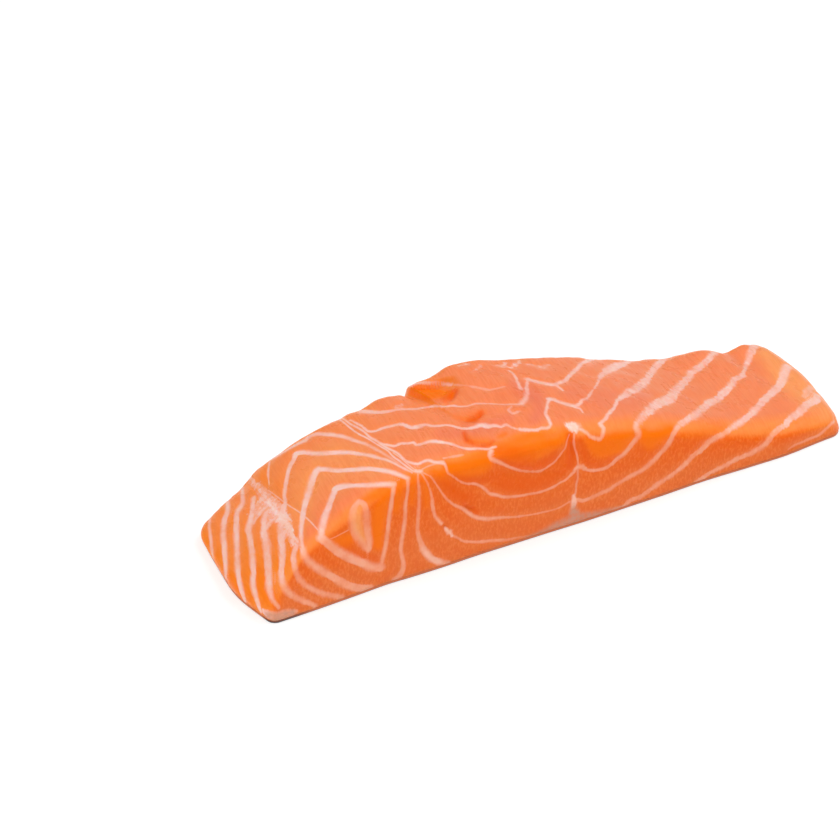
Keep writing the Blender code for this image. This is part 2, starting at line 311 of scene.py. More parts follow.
        614, 509, 623, 506.5, 632, 500, 640, 497, 650, 490, 660, 483, 671, 476, 679, 470, 686, 463.5,
        693, 456, 701, 450, 706, 445, 716, 438, 725, 433, 732, 428, 739, 423, 747, 417, 756, 409,
        763, 401, 769, 395, 776, 389, 781, 383, 786, 369, 789, 363)),
    "belly_stripe_6": ((3, 3.5, 4, 5, 7, 9), 0.3, 0.9, (
        686, 486, 693, 483, 701, 479, 709, 474, 716, 470, 725, 466, 732, 462, 739, 459, 747, 455.5,
        756, 451, 764, 446, 769, 441, 773, 435, 777, 430.5, 782, 427, 786, 424, 789, 420, 794, 416,
        801, 411, 807, 405, 816, 399, 819, 393)),
    "belly_patch_6": ((5, 10, 5), 0.4, 0.6, (805, 397, 808, 391, 811, 386)),
    "belly_stripe_7": ((2.5, 2.2, 1.6), 0.15, (0.8, 0.7, 0.4), (
        837, 420, 831, 424.5, 825, 430, 819, 435, 810, 439, 801, 443, 794, 446, 789, 449.5)),
    "flake_line_1": ((3.5, 3.5, 3), 0.15, 1.0, (413, 384, 419, 382.5, 428, 383, 439, 383.5, 451, 384.5)),
    "flake_line_1_faint": ((1.5, 2, 1.5), 0.3, 0.35, (
        451, 384.5, 460, 385, 470, 386, 479, 387.5, 488, 389, 497, 387.5, 504, 386)),
    "flake_line_1_end": ((1.5, 2, 4), 0.25, 0.75, (509.6, 370.5, 515, 375, 518, 382, 521, 388)),
    "flake_line_2": ((5, 3.5, 2, 2, 2, 1.8, 1.3, 1.2, 1.8), 0.2, (
        1.05, 0.8, 0.7, 0.75, 0.95, 0.85, 0.6, 0.5, 0.7), (
        353, 410, 375, 412, 390, 411, 399, 409, 408, 408.5, 417, 408.5, 426, 407, 435, 406, 444, 406,
        452, 405, 460, 406, 467, 406, 472, 404.5, 477, 403.6, 493, 403.6, 502, 404, 513, 403.6, 522, 403.6)),
    "flake_patch_2": ((1.5, 4, 2), 0.6, 0.55, (395, 408, 399, 406, 402, 403.5)),
    "flake_loop_2": ((2, 2.5, 2), 0.3, 0.6, (511, 406, 509, 410, 513, 413, 518, 411)),
    "flake_line_3": ((1.6, 2, 2, 2.4, 2.4, 3.8, 2.2, 1.8, 2, 2.4, 4.6, 2.4, 2, 1.5), 0.2, (
        0.9, 0.9, 0.9, 0.9, 1.0, 1.0, 0.85, 0.8, 0.9, 1.0, 1.0, 0.9, 0.7, 0.7), (
        350, 420, 362, 426, 366, 429.5, 371, 431, 377, 430, 382, 428, 390, 426, 399, 424, 405, 424.6,
        412, 427, 419, 426, 426, 424.6, 432, 426, 440, 426, 447, 425, 454, 426, 461, 427.7, 469, 428,
        475, 427, 482, 424.6, 488, 426, 495, 425, 502, 426, 505, 424, 510, 426, 517, 428.6, 524, 429)),
    "flake_line_4": ((1.5, 2, 2.2, 2.4, 2, 3.2, 2.4, 2, 2.4, 2.6, 2), 0.2, (
        0.9, 0.9, 0.95, 0.9, 0.9, 1.08, 0.95, 0.9, 0.9, 0.9), (
        373, 438, 380, 443, 390, 445, 394, 445.5, 401, 443, 408, 443, 413, 442, 417, 444.6, 423, 443,
        430, 441, 440, 441.5, 448, 443, 454, 444.6, 461, 447, 470, 448.7, 479, 448, 488, 449, 495, 447)),
    "flake_faint_4": ((1.5, 2, 1.5), 0.2, 0.45, (444, 458, 463, 455)),
    "far_patch_1": ((2, 3, 2), 0.7, 0.7, (460, 365, 464, 364, 468, 364)),
    "far_patch_2": ((1.5, 3, 1.5), 0.7, 0.6, (474, 370, 478, 368, 481, 365)),
    "far_patch_3": ((1.5, 4, 2), 0.7, 0.85, (497, 365, 503, 365, 507, 362)),
    "far_patch_4": ((2, 3, 4, 2), 0.7, 0.9, (511, 367, 515, 365, 518, 363, 520, 360)),
    "far_patch_5": ((1.5, 3, 4, 2), 0.8, 0.6, (529, 364, 537, 366, 543, 367, 549, 364)),
}

# Zones of another colour, as: its kind; its strength; half widths in pixels, spread evenly along it;
# how soft its edge is, in pixels; and its pixels, as x and y in turn. Zones of the glow and light kinds
# are painted light, and zones of the deep kind painted shade
ZONES = {
    "core_heart": ("pale", 0.9, (3, 6, 5, 3), 4, (359, 507, 357, 518, 359, 530, 364, 540)),
    "back_light": ("pale", 0.45, (8, 18, 22, 12), 14, (300, 520, 310, 485, 340, 462, 380, 470)),
    "tear_wall_light": ("painted_light", 0.7, (2, 4, 3), 3, (414, 389, 425, 390, 440, 390)),
    "core_behind": ("painted_glow", 1.0, (4, 8, 7, 5), 5, (388, 492, 382, 505, 378, 525, 378, 545)),
    "core_top": ("painted_glow", 0.8, (2, 5, 7), 4, (360, 502, 372, 497, 386, 490)),
    "core_beside": ("painted_glow", 0.9, (5, 7, 4), 5, (352, 538, 342, 543, 331, 546)),
    "core_below": ("painted_shade", 0.45, (6,), 6, (345, 550, 358, 556, 374, 560)),
    "ring_gap": ("painted_glow", 0.85, (5, 5, 3), 5, (401, 480, 399, 495, 396, 510)),
    "fan_gap_1": ("painted_glow", 0.9, (4, 4, 2), 5, (413, 478, 413, 490, 412, 503)),
    "fan_gap_2": ("painted_glow", 0.8, (3, 4, 2), 5, (424, 478, 426, 490, 427, 506)),
    "fan_gap_3": ("painted_glow", 0.9, (4, 5, 3), 5, (434, 471, 440, 475, 446, 482)),
    "fan_gap_3_low": ("painted_shade", 0.7, (4, 6, 6, 3), 5, (444, 482, 452, 490, 462, 496, 470, 498)),
    "flake_lobe_1": ("painted_glow", 1.0, (6, 10, 11, 6), 5, (447, 468, 460, 470, 476, 465, 492, 454)),
    "lobe_1_top": ("painted_light", 0.9, (3, 4, 4, 3), 4, (450, 461, 462, 458, 476, 455, 488, 453)),
    "lobe_1_foot": ("painted_shade", 0.7, (3, 5, 4), 5, (456, 478, 468, 480, 482, 480)),
    "flake_lobe_2": ("painted_glow", 0.9, (6, 12, 14, 10, 5), 6, (
        497, 452, 512, 450, 532, 446, 552, 441, 566, 434)),
    "lobe_2_foot": ("painted_shade", 0.8, (3, 5, 6, 5), 5, (502, 461, 520, 466, 540, 465, 556, 456)),
    "lobe_2_heart": ("painted_shade", 0.5, (5, 7, 4), 7, (500, 452, 516, 456, 530, 457)),
    "lobe_2_top": ("painted_light", 0.8, (2, 3, 4, 3), 4, (503, 441, 520, 436, 540, 432, 560, 429)),
    "lobe_3_top": ("painted_light", 0.6, (2, 3, 3), 4, (592, 434, 612, 430, 634, 427)),
    "flake_lobe_3": ("painted_glow", 0.9, (5, 10, 11, 7), 5, (588, 442, 600, 448, 614, 444, 630, 438)),
    "lobe_3_foot": ("painted_shade", 0.5, (3, 4, 3), 4, (588, 464, 602, 463, 616, 456)),
    "flake_lobe_4": ("painted_glow", 0.95, (5, 9, 8, 5), 5, (644, 432, 648, 440, 658, 436, 670, 430)),
    "flake_lobe_5": ("painted_glow", 0.3, (5, 6, 5), 5, (684, 434, 700, 434, 722, 427)),
    "tip_glow": ("painted_light", 0.7, (4, 5, 7, 8), 7, (735, 427, 765, 425, 795, 424, 825, 422)),
    "tip_light": ("pale", 0.75, (8, 14, 12, 6), 10, (765, 352, 785, 372, 808, 395, 826, 412)),
    "septum_side": ("painted_shade", 1.0, (4, 6, 5), 4, (571, 436, 571, 450, 570, 464)),
    "septum_other": ("painted_shade", 0.7, (2, 4, 2), 3, (580, 440, 584, 452, 586, 462)),
    "tear_wall": ("painted_glow", 1.0, (5, 6, 5, 4), 2, (413, 391, 423, 393, 436, 394, 450, 394)),
    "tear_wall_end": ("painted_shade", 0.8, (2, 4, 3), 3, (443, 400, 450, 397, 456, 391)),
    "tear_middle": ("painted_glow", 0.45, (2, 4, 3), 4, (454, 416, 466, 418, 482, 413)),
    "tear_middle_end": ("painted_shade", 0.9, (2, 3, 2), 3, (468, 420, 476, 418, 481, 413)),
    "tear_low": ("painted_glow", 0.5, (3, 4, 3), 4, (466, 438, 476, 441, 488, 441)),
    "tear_low_end": ("painted_shade", 0.8, (2, 2.5, 1.5), 3, (464, 433, 466, 439, 473, 443)),
    "tear_low_side": ("painted_shade", 0.7, (1.5, 2, 1.5), 2.5, (482, 445, 488, 445, 493, 442)),
    "tear_low_far": ("painted_glow", 0.7, (2, 3, 2), 3, (499, 437, 502, 436, 506, 434)),
    "front_tear": ("painted_shade", 0.8, (2, 4, 3), 3, (462, 503, 470, 508, 477, 512)),
    "front_bulge": ("painted_shade", 0.5, (5, 9, 11, 8, 4), 6, (492, 477, 508, 483, 526, 485, 545, 481, 560, 472)),
    "top_rosy": ("rosy", 0.7, (5, 8, 7, 5), 8, (515, 385, 533, 395, 540, 405, 535, 420)),
    "top_rosy_2": ("rosy", 0.5, (5, 7, 5), 6, (440, 434, 470, 430, 510, 418)),
    "top_rosy_3": ("rosy", 0.35, (8, 12, 10), 9, (570, 392, 610, 400, 640, 398)),
    "ring_rosy": ("rosy", 0.35, (6, 8, 6), 6, (330, 478, 318, 505, 313, 535)),
    "edge_back": ("painted_glow", 0.6, (4, 7, 6), 5, (258, 570, 264, 590, 276, 602)),
    "end_foot": ("painted_glow", 0.5, (4, 6), 5, (226, 575, 244, 597)),
    "fat_triangle": ("beige", 1.0, (0.5, 3, 6, 7), 3, (574, 504, 574, 510, 575, 515, 576, 521)),
    "fat_corner": ("beige", 0.8, (4, 6, 6, 3), 3, (268, 616, 276, 619, 285, 617, 293, 613)),
    "fat_strip": ("beige", 0.85, (1, 3, 6.5, 9, 6, 3.5, 1), 3, (
        526, 539, 543, 533, 559, 527.5, 575, 523, 591, 518.5, 607, 513.5, 628, 507)),
}

# Small gouges, as: pixel, half length and half width in pixels, turn in degrees on the photograph, and
# depth in mm, which is negative for a soft swelling
GOUGES = {
    "wall": ((430, 400.5), 14, 2.0, 10, 0.35),
    "wall_side": ((452, 397), 7, 2.2, -50, 0.5),
    "crescent": ((468, 420), 11, 2.0, 4, 0.5),
    "crescent_end": ((480, 415.5), 5, 1.8, -40, 0.4),
    "crease": ((465, 437), 6, 1.8, 65, 0.5),
    "crease_low": ((478, 444.5), 9, 1.6, 8, 0.45),
    "crease_side": ((490, 443.5), 4, 1.6, -30, 0.45),
    "lobe_gap": ((493, 459), 9, 2.5, 60, 0.5),
    "lobe_foot": ((535, 471), 26, 2.5, 2, 0.35),
    "front_tear": ((469, 508), 7, 1.8, 25, 0.6),
    "front_pit": ((445, 526.5), 2.5, 2.0, 30, 0.6),
    "septum_pit": ((572, 447), 14, 3.0, 84, 0.7),
    "septum_low": ((577, 482), 18, 1.6, 95, 0.3),
    "bulge_1": ((470, 465), 20, 9, -12, -0.5),
    "bulge_2": ((530, 449), 30, 13, -10, -0.6),
    "bulge_3": ((608, 447), 24, 11, -12, -0.4),
    "bulge_4": ((658, 436), 18, 9, -20, -0.3),
    "bulge_5": ((512, 394), 22, 8, 0, 0.3),
}

# Where the near face's lines meet the far face, as (x on the near face, x on the far one)
FAR_SHIFT = (
    (-84, -84), (-42, -43), (-36, -38.5), (-23.3, -23), (-1, 3), (16.4, 19), (29.1, 31), (44.4, 41),
    (59.9, 53.5), (75.5, 67), (84, 80),
)

# Lines on the top that run on to the far cut face
FAR_REACHING = (
    "back_stripe_1", "back_stripe_2", "back_stripe_3", "fat_seam", "far_short", "ring_4_top",
    "ridge_1", "ridge_2", "flake_line_1", "flake_line_2", "belly_stripe_0", "belly_stripe_1_far",
    "belly_stripe_2_far", "belly_stripe_3_far", "belly_stripe_4_end",
)

# Colours, 0 to 255, with the zones' own in the order in which they cover each other
TOP_COLOUR = (248, 139, 92)
CUT_COLOUR = (242, 104, 18)
CUT_LOW_COLOUR = (236, 116, 52)
END_COLOUR = (255, 134, 24)
ZONE_COLOURS = {
    "rosy": (238, 124, 96),
    # Painted light: lighter orange on the flakes' tops, the tip and the bends, where light falls on them
    "painted_light": (255, 148, 64),
    # Painted glow: bright orange standing in for light shining through the flesh
    "painted_glow": (255, 119, 0),
    # Painted shade: darker orange at the flakes' feet and in gaps, tears and gouges
    "painted_shade": (238, 92, 0),
    "pale": (255, 164, 98),
}
TOP_LINE = (251, 204, 194)
CUT_LINE = (252, 174, 142)
WHITE_FAT_AND_GLINT = (254, 232, 222)
BEIGE = (208, 150, 126)
FLECK = (252, 150, 84)
CUT_SKIN = (206, 108, 60)

# Shader colours of the skin, and tints that others are multiplied by
BACK_SKIN = (0.035, 0.045, 0.055, 1.0)
BELLY_SKIN = (0.42, 0.43, 0.43, 1.0)
SPOT_SKIN = (0.012, 0.013, 0.016, 1.0)
SKIN_CLOUD_TINT = (0.55, 0.56, 0.6, 1.0)
SCALE_TINT = (0.4, 0.4, 0.42, 1.0)
GRAIN_TINT = (0.88, 0.68, 0.54, 1.0)
BROAD_TINT = (0.95, 0.84, 0.76, 1.0)

# X in metres between which the skin turns from the back's colour to the belly's
BELLY_TURN = (-0.03, 0.07)

# Noises, as features per mm along X, Y and Z, then detail and roughness where they aren't the usual ones
FIBRE = ((2.3, 0.16, 0.06), 1.0, 0.5)
SPECKLE = ((1.6, 0.15, 0.8), 2.0, 0.6)
BROAD = ((0.06, 0.05, 0.08), 3.0, 0.5)
CLOUD = ((0.25, 0.15, 0.25), 3.0, 0.55)
LINE_ROUGH = ((0.6, 0.5, 0.6), 2.0, 0.6)
LINE_BLUR = ((0.2, 0.2, 0.2), 1.0)
LINE_HOLES = ((0.9, 0.7, 0.9), 3.0, 0.7)
FAT_CLOUD = ((1.1, 1.1, 1.1),)
SKIN_CLOUD = ((0.12, 0.12, 0.12),)
SKIN_SPOTS = ((0.11, 0.09, 0.0), 1.0)
SKIN_GRAIN = ((1.2, 3.0, 1.0),)

# Fat lines in the material, in mm: how far rough and jagged edges wander, how much of a line's reach may
# be lost between corners, how soft a thin line's edge is for its half width, how fast paleness over 1
# turns white, partly white fat and partly a painted glint, and the halo's width and strength
ROUGH_EDGE = 3.0
JAGGED_EDGE = 2.2
REACH_SLACK = 0.45
THIN_SOFTNESS = (0.8, 0.03)
WHITENING_AND_GLINT = 3.0
HALO_WIDTH = 2.2
HALO_SHARE = 0.12

# Strength of the pale flecks on a cut face, and of a zone's unevenness
FLECK_SHARE = 0.22
ZONE_UNEVEN = 0.5

FLOOR_SIZE = 4.0
FLOOR_COLOUR = (0.55, 0.55, 0.55, 1.0)
FLOOR_GLOW = 0.55
WORLD_LIGHT = 0.28

# Square soft lamps, as: place in metres, size, power and colour
LAMPS = {
    "key_light": ((-0.75, -0.14, 1.12), 1.0, 10.4, (1.0, 0.99, 0.97)),
    "right_light": ((0.8, -0.1, 1.08), 1.0, 8.8, (1.0, 1.0, 1.0)),
    "fill_light": ((0.3, -1.2, 0.6), 0.9, 2.4, (1.0, 1.0, 1.0)),
}

# Turn of the knife's fine hatch on the top, from the Y axis, in degrees
HATCH_TURN = 12.4

# Steps in pixels along lines and zones, the fewest places that a line keeps, and how much wider than plain
# a line may be where the surface slants
LINE_STEP = 2.5
ZONE_STEP = 4.0
LEAST_PLACES = 4
WIDEST_LINE = 2.1

# Lines that run on over the top to the far edge: Y of that edge, their step, their steepest slope, the
# least run that it is taken from, and a height above the portion
FAR_EDGE = 21.4
REACH_STEP = 0.6
STEEPEST_REACH = 2.0
LEAST_RUN = 0.2
WELL_ABOVE = 60.0

# Lines that are copied to the far cut face: how near they are to the near one, and how much higher the
# copy goes close to the top, between which shares of the height
FACE_DEPTH = 1.5
COPY_RAISE = 0.04
COPY_TOP = (0.7, 0.95)

# Groups of lines, the clear space between a group's lines, a distance that counts as far away, and how far
# round a line its field is worked out
LINE_GROUPS = 4
LINE_CLEARANCE = 2.6
FAR_AWAY = 9.0
LINE_MARGIN = 5.0

# Relief of the flesh in mm: how proud it stands, how deep the fat lines lie and how wide that is, its
# lumps as (height, features per mm along X, Y and Z, seed), and the share of the height over which all of
# it starts from the foot
PROUD = 0.10
LINE_DEPTH = 0.22
LINE_SPREAD = 1.1
LUMPS = (
    (0.16, (0.16, 0.16, 0.22), 3.1),
    (0.07, (0.5, 0.3, 0.5), 8.7),
    (0.012, (1.1, 0.7, 1.1), 17.3),
)
RELIEF_FOOT = 0.06

# How much of a normal's length along an axis makes a face count as seen by the camera, as a cut face, as
# the back end, and as the bend between the top and a cut face
FACING = (0.0, 0.15)
CUT_FACING = (0.15, 0.95)
END_FACING = (0.25, 0.9)
BEND_IN = (0.05, 0.5)
BEND_OUT = (0.6, 0.98)

# Painted glow under the top edge of the far cut face and painted light on the bends: their strength, and the
# shares of the height between which they rise and fall; and how much painted shade each mm of a gouge adds
PAINTED_EDGE_LIGHT = 0.7
FAR_GLOW_RISE = (0.55, 0.8)
FAR_GLOW_FALL = (0.9, 1.0)
BEND_RISE = (0.3, 0.6)
GOUGE_PAINTED_SHADE = 0.5

# Skin in mm: insets of its lower and its upper edge, heights of its lower edge and of its widest ring, and
# its gap to the flesh
LOWER_INSET = 0.12
UPPER_INSET = 0.05
LOWER_EDGE = 0.10
WIDEST_RING = 0.3
SKIN_GAP = 0.02

# Scales in mm: height of their foot, relief, length and width
SCALE_FOOT = 0.02
SCALE_RELIEF = 0.08
SCALE_LENGTH = 2.6
SCALE_WIDTH = 2.3

# Heights between which the skin's cut edge starts; the dark corner of that edge, along X, along Y and up
# Z; and how dark it is and how much of that goes higher up
CUT_EDGE = (0.1, 0.3)
CORNER_X = (-78, -70)
CORNER_Y = (-20, -17)
CORNER_Z = (0.3, 0.8)
CORNER_DARK = 0.95
CORNER_FADE = 0.6


def along(stations, x):
    """Value at x of a smooth line through the stations."""
    places, values = np.array(stations, float).T
    steps = np.diff(places)
    slopes = np.diff(values) / steps
    tangents = np.concatenate([slopes[:1], (slopes[:-1] + slopes[1:]) / 2, slopes[-1:]])
    x = np.clip(x, places[0], places[-1])
    i = np.clip(np.searchsorted(places, x) - 1, 0, len(steps) - 1)
    u = (x - places[i]) / steps[i]
    start = (2 * u**3 - 3 * u**2 + 1) * values[i] + (u**3 - 2 * u**2 + u) * steps[i] * tangents[i]
    end = (3 * u**2 - 2 * u**3) * values[i + 1] + (u**3 - u**2) * steps[i] * tangents[i + 1]
    return start + end


def ramp(low, high, value):
    """Smooth step from 0 at low to 1 at high."""
    u = np.clip((value - low) / (high - low), 0.0, 1.0)
    return u * u * (3.0 - 2.0 * u)


def rounded(points):
    """The block's points with its upright and top edges rounded; the foot stays sharp."""
    nearness = 1 - ramp(*NEAR_ROUNDING, points[:, 1] / WIDTH)
    least = EDGE_RADIUS + (FOOT_EDGE_RADIUS - EDGE_RADIUS) * nearness
    grown = ramp(0.0, GROWN_BY, points[:, 2] / HEIGHT)
    far_back = FAR_BACK_GAIN * (1 - nearness) * (1 - ramp(*FAR_BACK_FADE, points[:, 0]))
    upright = least + (EDGE_RADIUS - least) * grown + far_back
    wide = least + (EDGE_RADIUS + (NEAR_EDGE_RADIUS - EDGE_RADIUS) * nearness - least) * grown + far_back
    thin = HEIGHT / along(NEAR_TOP, points[:, 0] - LENGTH / 2)
    tall = EDGE_RADIUS * (1 + (np.clip(thin, 1, MOST_THINNED) - 1) * nearness)
    radius = np.stack([upright, wide, tall], axis=1)
    low = radius.copy()
    low[:, 2] = -np.inf
    inner = np.clip(points, low, np.array([LENGTH, WIDTH, HEIGHT]) - radius)
    offset = (points - inner) / radius
    reach = np.linalg.norm(offset, axis=1)
    share = np.abs(offset).max(axis=1) / np.maximum(reach, 1e-9)
    return inner + offset * radius * share[:, None]


def back_end(across, up):
    """X of the end by the fish's back, at shares across and up: it swells low down and leans in."""
    most, middle, half = BACK_BUMP
    foot = BACK_FOOT - BACK_BOW * across * (1 - across) + BACK_SLANT * across**2
    foot -= most * np.exp(-(((across - middle) / half) ** 2))
    swell = BACK_SWELL * np.sin(np.pi * np.clip(up / BACK_SWELL_TOP, 0, 1))
    lean = (BACK_LEAN[0] + BACK_LEAN[1] * across) * np.clip(up, 0, 1) ** BACK_LEAN_POWER
    return foot - swell + lean


def belly_end(across):
    """X of the thin end, which is cut askew with a round near corner."""
    bow = BELLY_BOW * np.sin(np.pi * (BELLY_ARC[0] + BELLY_ARC[1] * across))
    return BELLY_FOOT + bow - BELLY_CORNER[0] * np.exp(-across / BELLY_CORNER[1])


def top_height(x, y):
    """Height of the top above the table, before the tears."""
    across = np.clip((y - NEAR_FOOT[0][1]) / WIDTH, 0, 1)
    crown = CROWN * across * (1 - across) * ramp(*CROWN_RISE, x) * (1 - ramp(*CROWN_FALL, x))
    near, far = along(NEAR_TOP, x), along(FAR_TOP, x)
    moves = np.linspace(-STEP_SMOOTHING, STEP_SMOOTHING, 9)
    even = np.mean([along(FAR_TOP, x + move) for move in moves], axis=0)
    return near + (even - near) * across + (far - even) * across**3 + crown


def tear_depth(x, y):
    """Depth of the torn places: each is steep on one side and runs out on the other."""
    depth = np.zeros_like(x)
    for middle_x, middle_y, half_length, half_width, deepest, turn in TEARS:
        cos, sin = np.cos(np.radians(turn)), np.sin(np.radians(turn))
        u = ((x - middle_x) * cos + (y - middle_y) * sin) / half_length
        v = (-(x - middle_x) * sin + (y - middle_y) * cos) / half_width
        v = np.where(v > 0, v * TEAR_STEEP, v * TEAR_GENTLE)
        depth += deepest * np.exp(-(u**2 + v**2) * TEAR_NARROW)
    return depth


def flake_swell(x, up):
    """How far the flakes push the near cut face out, under its top edge."""
    swell = np.zeros_like(x)
    for middle, half_length, most in FLAKES:
        swell += most * np.exp(-(((x - middle) / half_length) ** 4))
    return swell * ramp(*FLAKE_RISE, up) * (1 - ramp(*FLAKE_FALL, up))


def wall_drop(x, y):
    """How far the top lies lower on the near side of the torn plateau's wall."""
    before = WALL_START[1] - WALL_SLANT * (x - WALL_START[0]) - y
    start = ramp(WALL_START[0] - WALL_SOFT_START, WALL_START[0] + WALL_SOFT_START, x)
    along_wall = start * (1 - ramp(*WALL_END, x))
    run_out = np.exp(-np.maximum(before, 0) / WALL_RUN_OUT)
    return WALL_DROP * along_wall * ramp(*WALL_STEP, before) * run_out


def shaped(points, foot):
    """Places of the plain block's points on the portion, before it is centred."""
    block = rounded(np.asarray(points, float))
    lengthwise, across, up = (block / (LENGTH, WIDTH, HEIGHT)).T
    start = back_end(across, up)
    x = start + (belly_end(across) - start) * lengthwise
    near = along(NEAR_FOOT, x) - flake_swell(x, up)
    y = near + (along(FAR_FOOT, x) - near) * across
    tip = np.clip((lengthwise - TIP_START) / (1 - TIP_START), 0, 1)
    top = top_height(x, y) * np.sqrt(1 - TIP_FALL * tip**2) - tear_depth(x, y) - wall_drop(x, y)
    z = foot + (top - foot) * up
    return np.stack([x, y, z], axis=1)


def camera_axes():
    """Directions to the camera's right, up and back, and its place."""
    azimuth, elevation = math.radians(CAMERA_AZIMUTH), math.radians(CAMERA_ELEVATION)
    flat = math.cos(elevation)
    back = np.array([math.sin(azimuth) * flat, -math.cos(azimuth) * flat, math.sin(elevation)])
    right = np.array([math.cos(azimuth), math.sin(azimuth), 0.0])
    return right, np.cross(back, right), back, np.array(CAMERA_TARGET) + back * CAMERA_DISTANCE


def make_camera():
    """The camera of the photograph."""
    _, _, back, place = camera_axes()
    data = bpy.data.cameras.new("camera")
    data.lens = CAMERA_LENS
    data.sensor_width = CAMERA_SENSOR
    data.clip_start = 0.01
    data.clip_end = 50.0
    camera = bpy.data.objects.new("camera", data)
    camera.location = Vector(place * MM)
    camera.rotation_mode = "QUATERNION"
    camera.rotation_quaternion = Vector(-back).to_track_quat("-Z", "Y")
    bpy.context.collection.objects.link(camera)
    bpy.context.scene.camera = camera


def to_pixels(points):
    """Pixels of the photograph at which the points show."""
    right, up, back, place = camera_axes()
    away = points - place
    scale = PHOTO_SIDE * CAMERA_LENS / CAMERA_SENSOR / -(away @ back)
    return np.stack([PHOTO_SIDE / 2 + scale * (away @ right), PHOTO_SIDE / 2 - scale * (away @ up)], axis=1)


def cast(tree, pixels):
    """Places on the tree's mesh under the pixels; a row of nan where there is none."""
    right, up, back, place = camera_axes()
    scale = PHOTO_SIDE * CAMERA_LENS / CAMERA_SENSOR
    found = np.full((len(pixels), 3), np.nan)
    for row, (x, y) in enumerate(pixels):
        ray = right * (x - PHOTO_SIDE / 2) - up * (y - PHOTO_SIDE / 2) - back * scale
        hit = tree.ray_cast(Vector(place), Vector(ray).normalized())[0]
        if hit is not None:
            found[row] = hit
    return found


class Lattice:
    """The outside of the block's lattice: its corners, the block place of each, and its faces."""

    def __init__(self, steps):
        self.corners = {}
        self.block = []
        self.faces = []
        sizes = (LENGTH, WIDTH, HEIGHT)
        self.ticks = [np.linspace(0, size, count + 1) for size, count in zip(sizes, steps)]
        density = 1 + DENSE_GAIN * ramp(DENSE[0] - DENSE_FADE, DENSE[0], self.ticks[0])
        density -= DENSE_GAIN * ramp(DENSE[1], DENSE[1] + DENSE_FADE, self.ticks[0])
        travel = np.concatenate([[0.0], np.cumsum(density[1:] + density[:-1])])
        self.ticks[0] = np.interp(np.linspace(0, travel[-1], steps[0] + 1), travel, self.ticks[0])

    def corner(self, i, j, k):
        if (i, j, k) not in self.corners:
            self.corners[i, j, k] = len(self.block)
            self.block.append((self.ticks[0][i], self.ticks[1][j], self.ticks[2][k]))
        return self.corners[i, j, k]

    def add_side(self, vertex, first, second, flip):
        """Quads over one side, whose corners vertex(a, b) gives."""
        for a in range(first):
            for b in range(second):
                quad = [vertex(a, b), vertex(a + 1, b), vertex(a + 1, b + 1), vertex(a, b + 1)]
                self.faces.append(quad[::-1] if flip else quad)


def flesh_lattice():
    """The lattice of the flesh, closed below by strips that the skin hides."""
    nx, ny, nz = FLESH_STEPS
    made = Lattice(FLESH_STEPS)
    made.add_side(lambda i, j: made.corner(i, j, nz), nx, ny, False)
    made.add_side(lambda i, k: made.corner(i, 0, k), nx, nz, False)
    made.add_side(lambda i, k: made.corner(i, ny, k), nx, nz, True)
    made.add_side(lambda j, k: made.corner(0, j, k), ny, nz, True)
    made.add_side(lambda j, k: made.corner(nx, j, k), ny, nz, False)
    first = [made.corner(0, j, 0) for j in range(ny + 1)]
    made.faces.append(first + [made.corner(1, ny, 0), made.corner(1, 0, 0)])
    for i in range(1, nx - 1):
        strip = ((i, 0), (i, ny), (i + 1, ny), (i + 1, 0))
        made.faces.append([made.corner(a, b, 0) for a, b in strip])
    last = [made.corner(nx - 1, 0, 0), made.corner(nx - 1, ny, 0)]
    made.faces.append(last + [made.corner(nx, j, 0) for j in range(ny, -1, -1)])
    return made


def vertex_normals(places, faces):
    """Unit normals of a mesh's corners."""
    mesh = bpy.data.meshes.new("normals")
    mesh.from_pydata(places.tolist(), [], faces)
    normals = np.zeros(len(places) * 3)
    mesh.vertex_normals.foreach_get("vector", normals)
    bpy.data.meshes.remove(mesh)
    return normals.reshape(-1, 3)


def smooth_pixels(points, step):
    """Points about a step apart on a smooth curve through the given ones, whose x and y come in turn."""
    points = np.array(points, float).reshape(-1, 2)
    travel = np.concatenate([[0.0], np.cumsum(np.linalg.norm(np.diff(points, axis=0), axis=1))])
    places = np.linspace(0, travel[-1], max(3, int(travel[-1] / step) + 2))
    columns = [along(np.stack([travel, points[:, axis]], axis=1), places) for axis in (0, 1)]
    return np.stack(columns, axis=1)


def spread(values, count):
    """A few values, or one, spread evenly over count places."""
    values = np.atleast_1d(values)
    return np.interp(np.linspace(0, 1, count), np.linspace(0, 1, len(values)), values)


def lay_line(tree, widths, pales, points):
    """Rows of a line's places on the flesh, each with its half width and paleness."""
    pixels = smooth_pixels(points, LINE_STEP)
    run = np.gradient(pixels, axis=0)
    run /= np.linalg.norm(run, axis=1)[:, None]
    across = np.stack([-run[:, 1], run[:, 0]], axis=1)
    width, pale = spread(widths, len(pixels)), spread(pales, len(pixels))
    middle = cast(tree, pixels)
    left = cast(tree, pixels - across * width[:, None] / 2)
    right = cast(tree, pixels + across * width[:, None] / 2)
    seen = ~np.isnan(middle[:, 0])
    if seen.sum() < LEAST_PLACES:
        return None
    middle, left, right, width, pale = middle[seen], left[seen], right[seen], width[seen], pale[seen]
    travel = np.gradient(middle, axis=0)
    travel /= np.maximum(np.linalg.norm(travel, axis=1), 1e-9)[:, None]
    half = np.linalg.norm(np.cross(right - left, travel), axis=1) / 2
    plain = width / PIXELS_PER_MM / 2
    half = np.where(np.isnan(half), plain, np.clip(half, plain, plain * WIDEST_LINE))
    return np.column_stack([middle, half, pale])


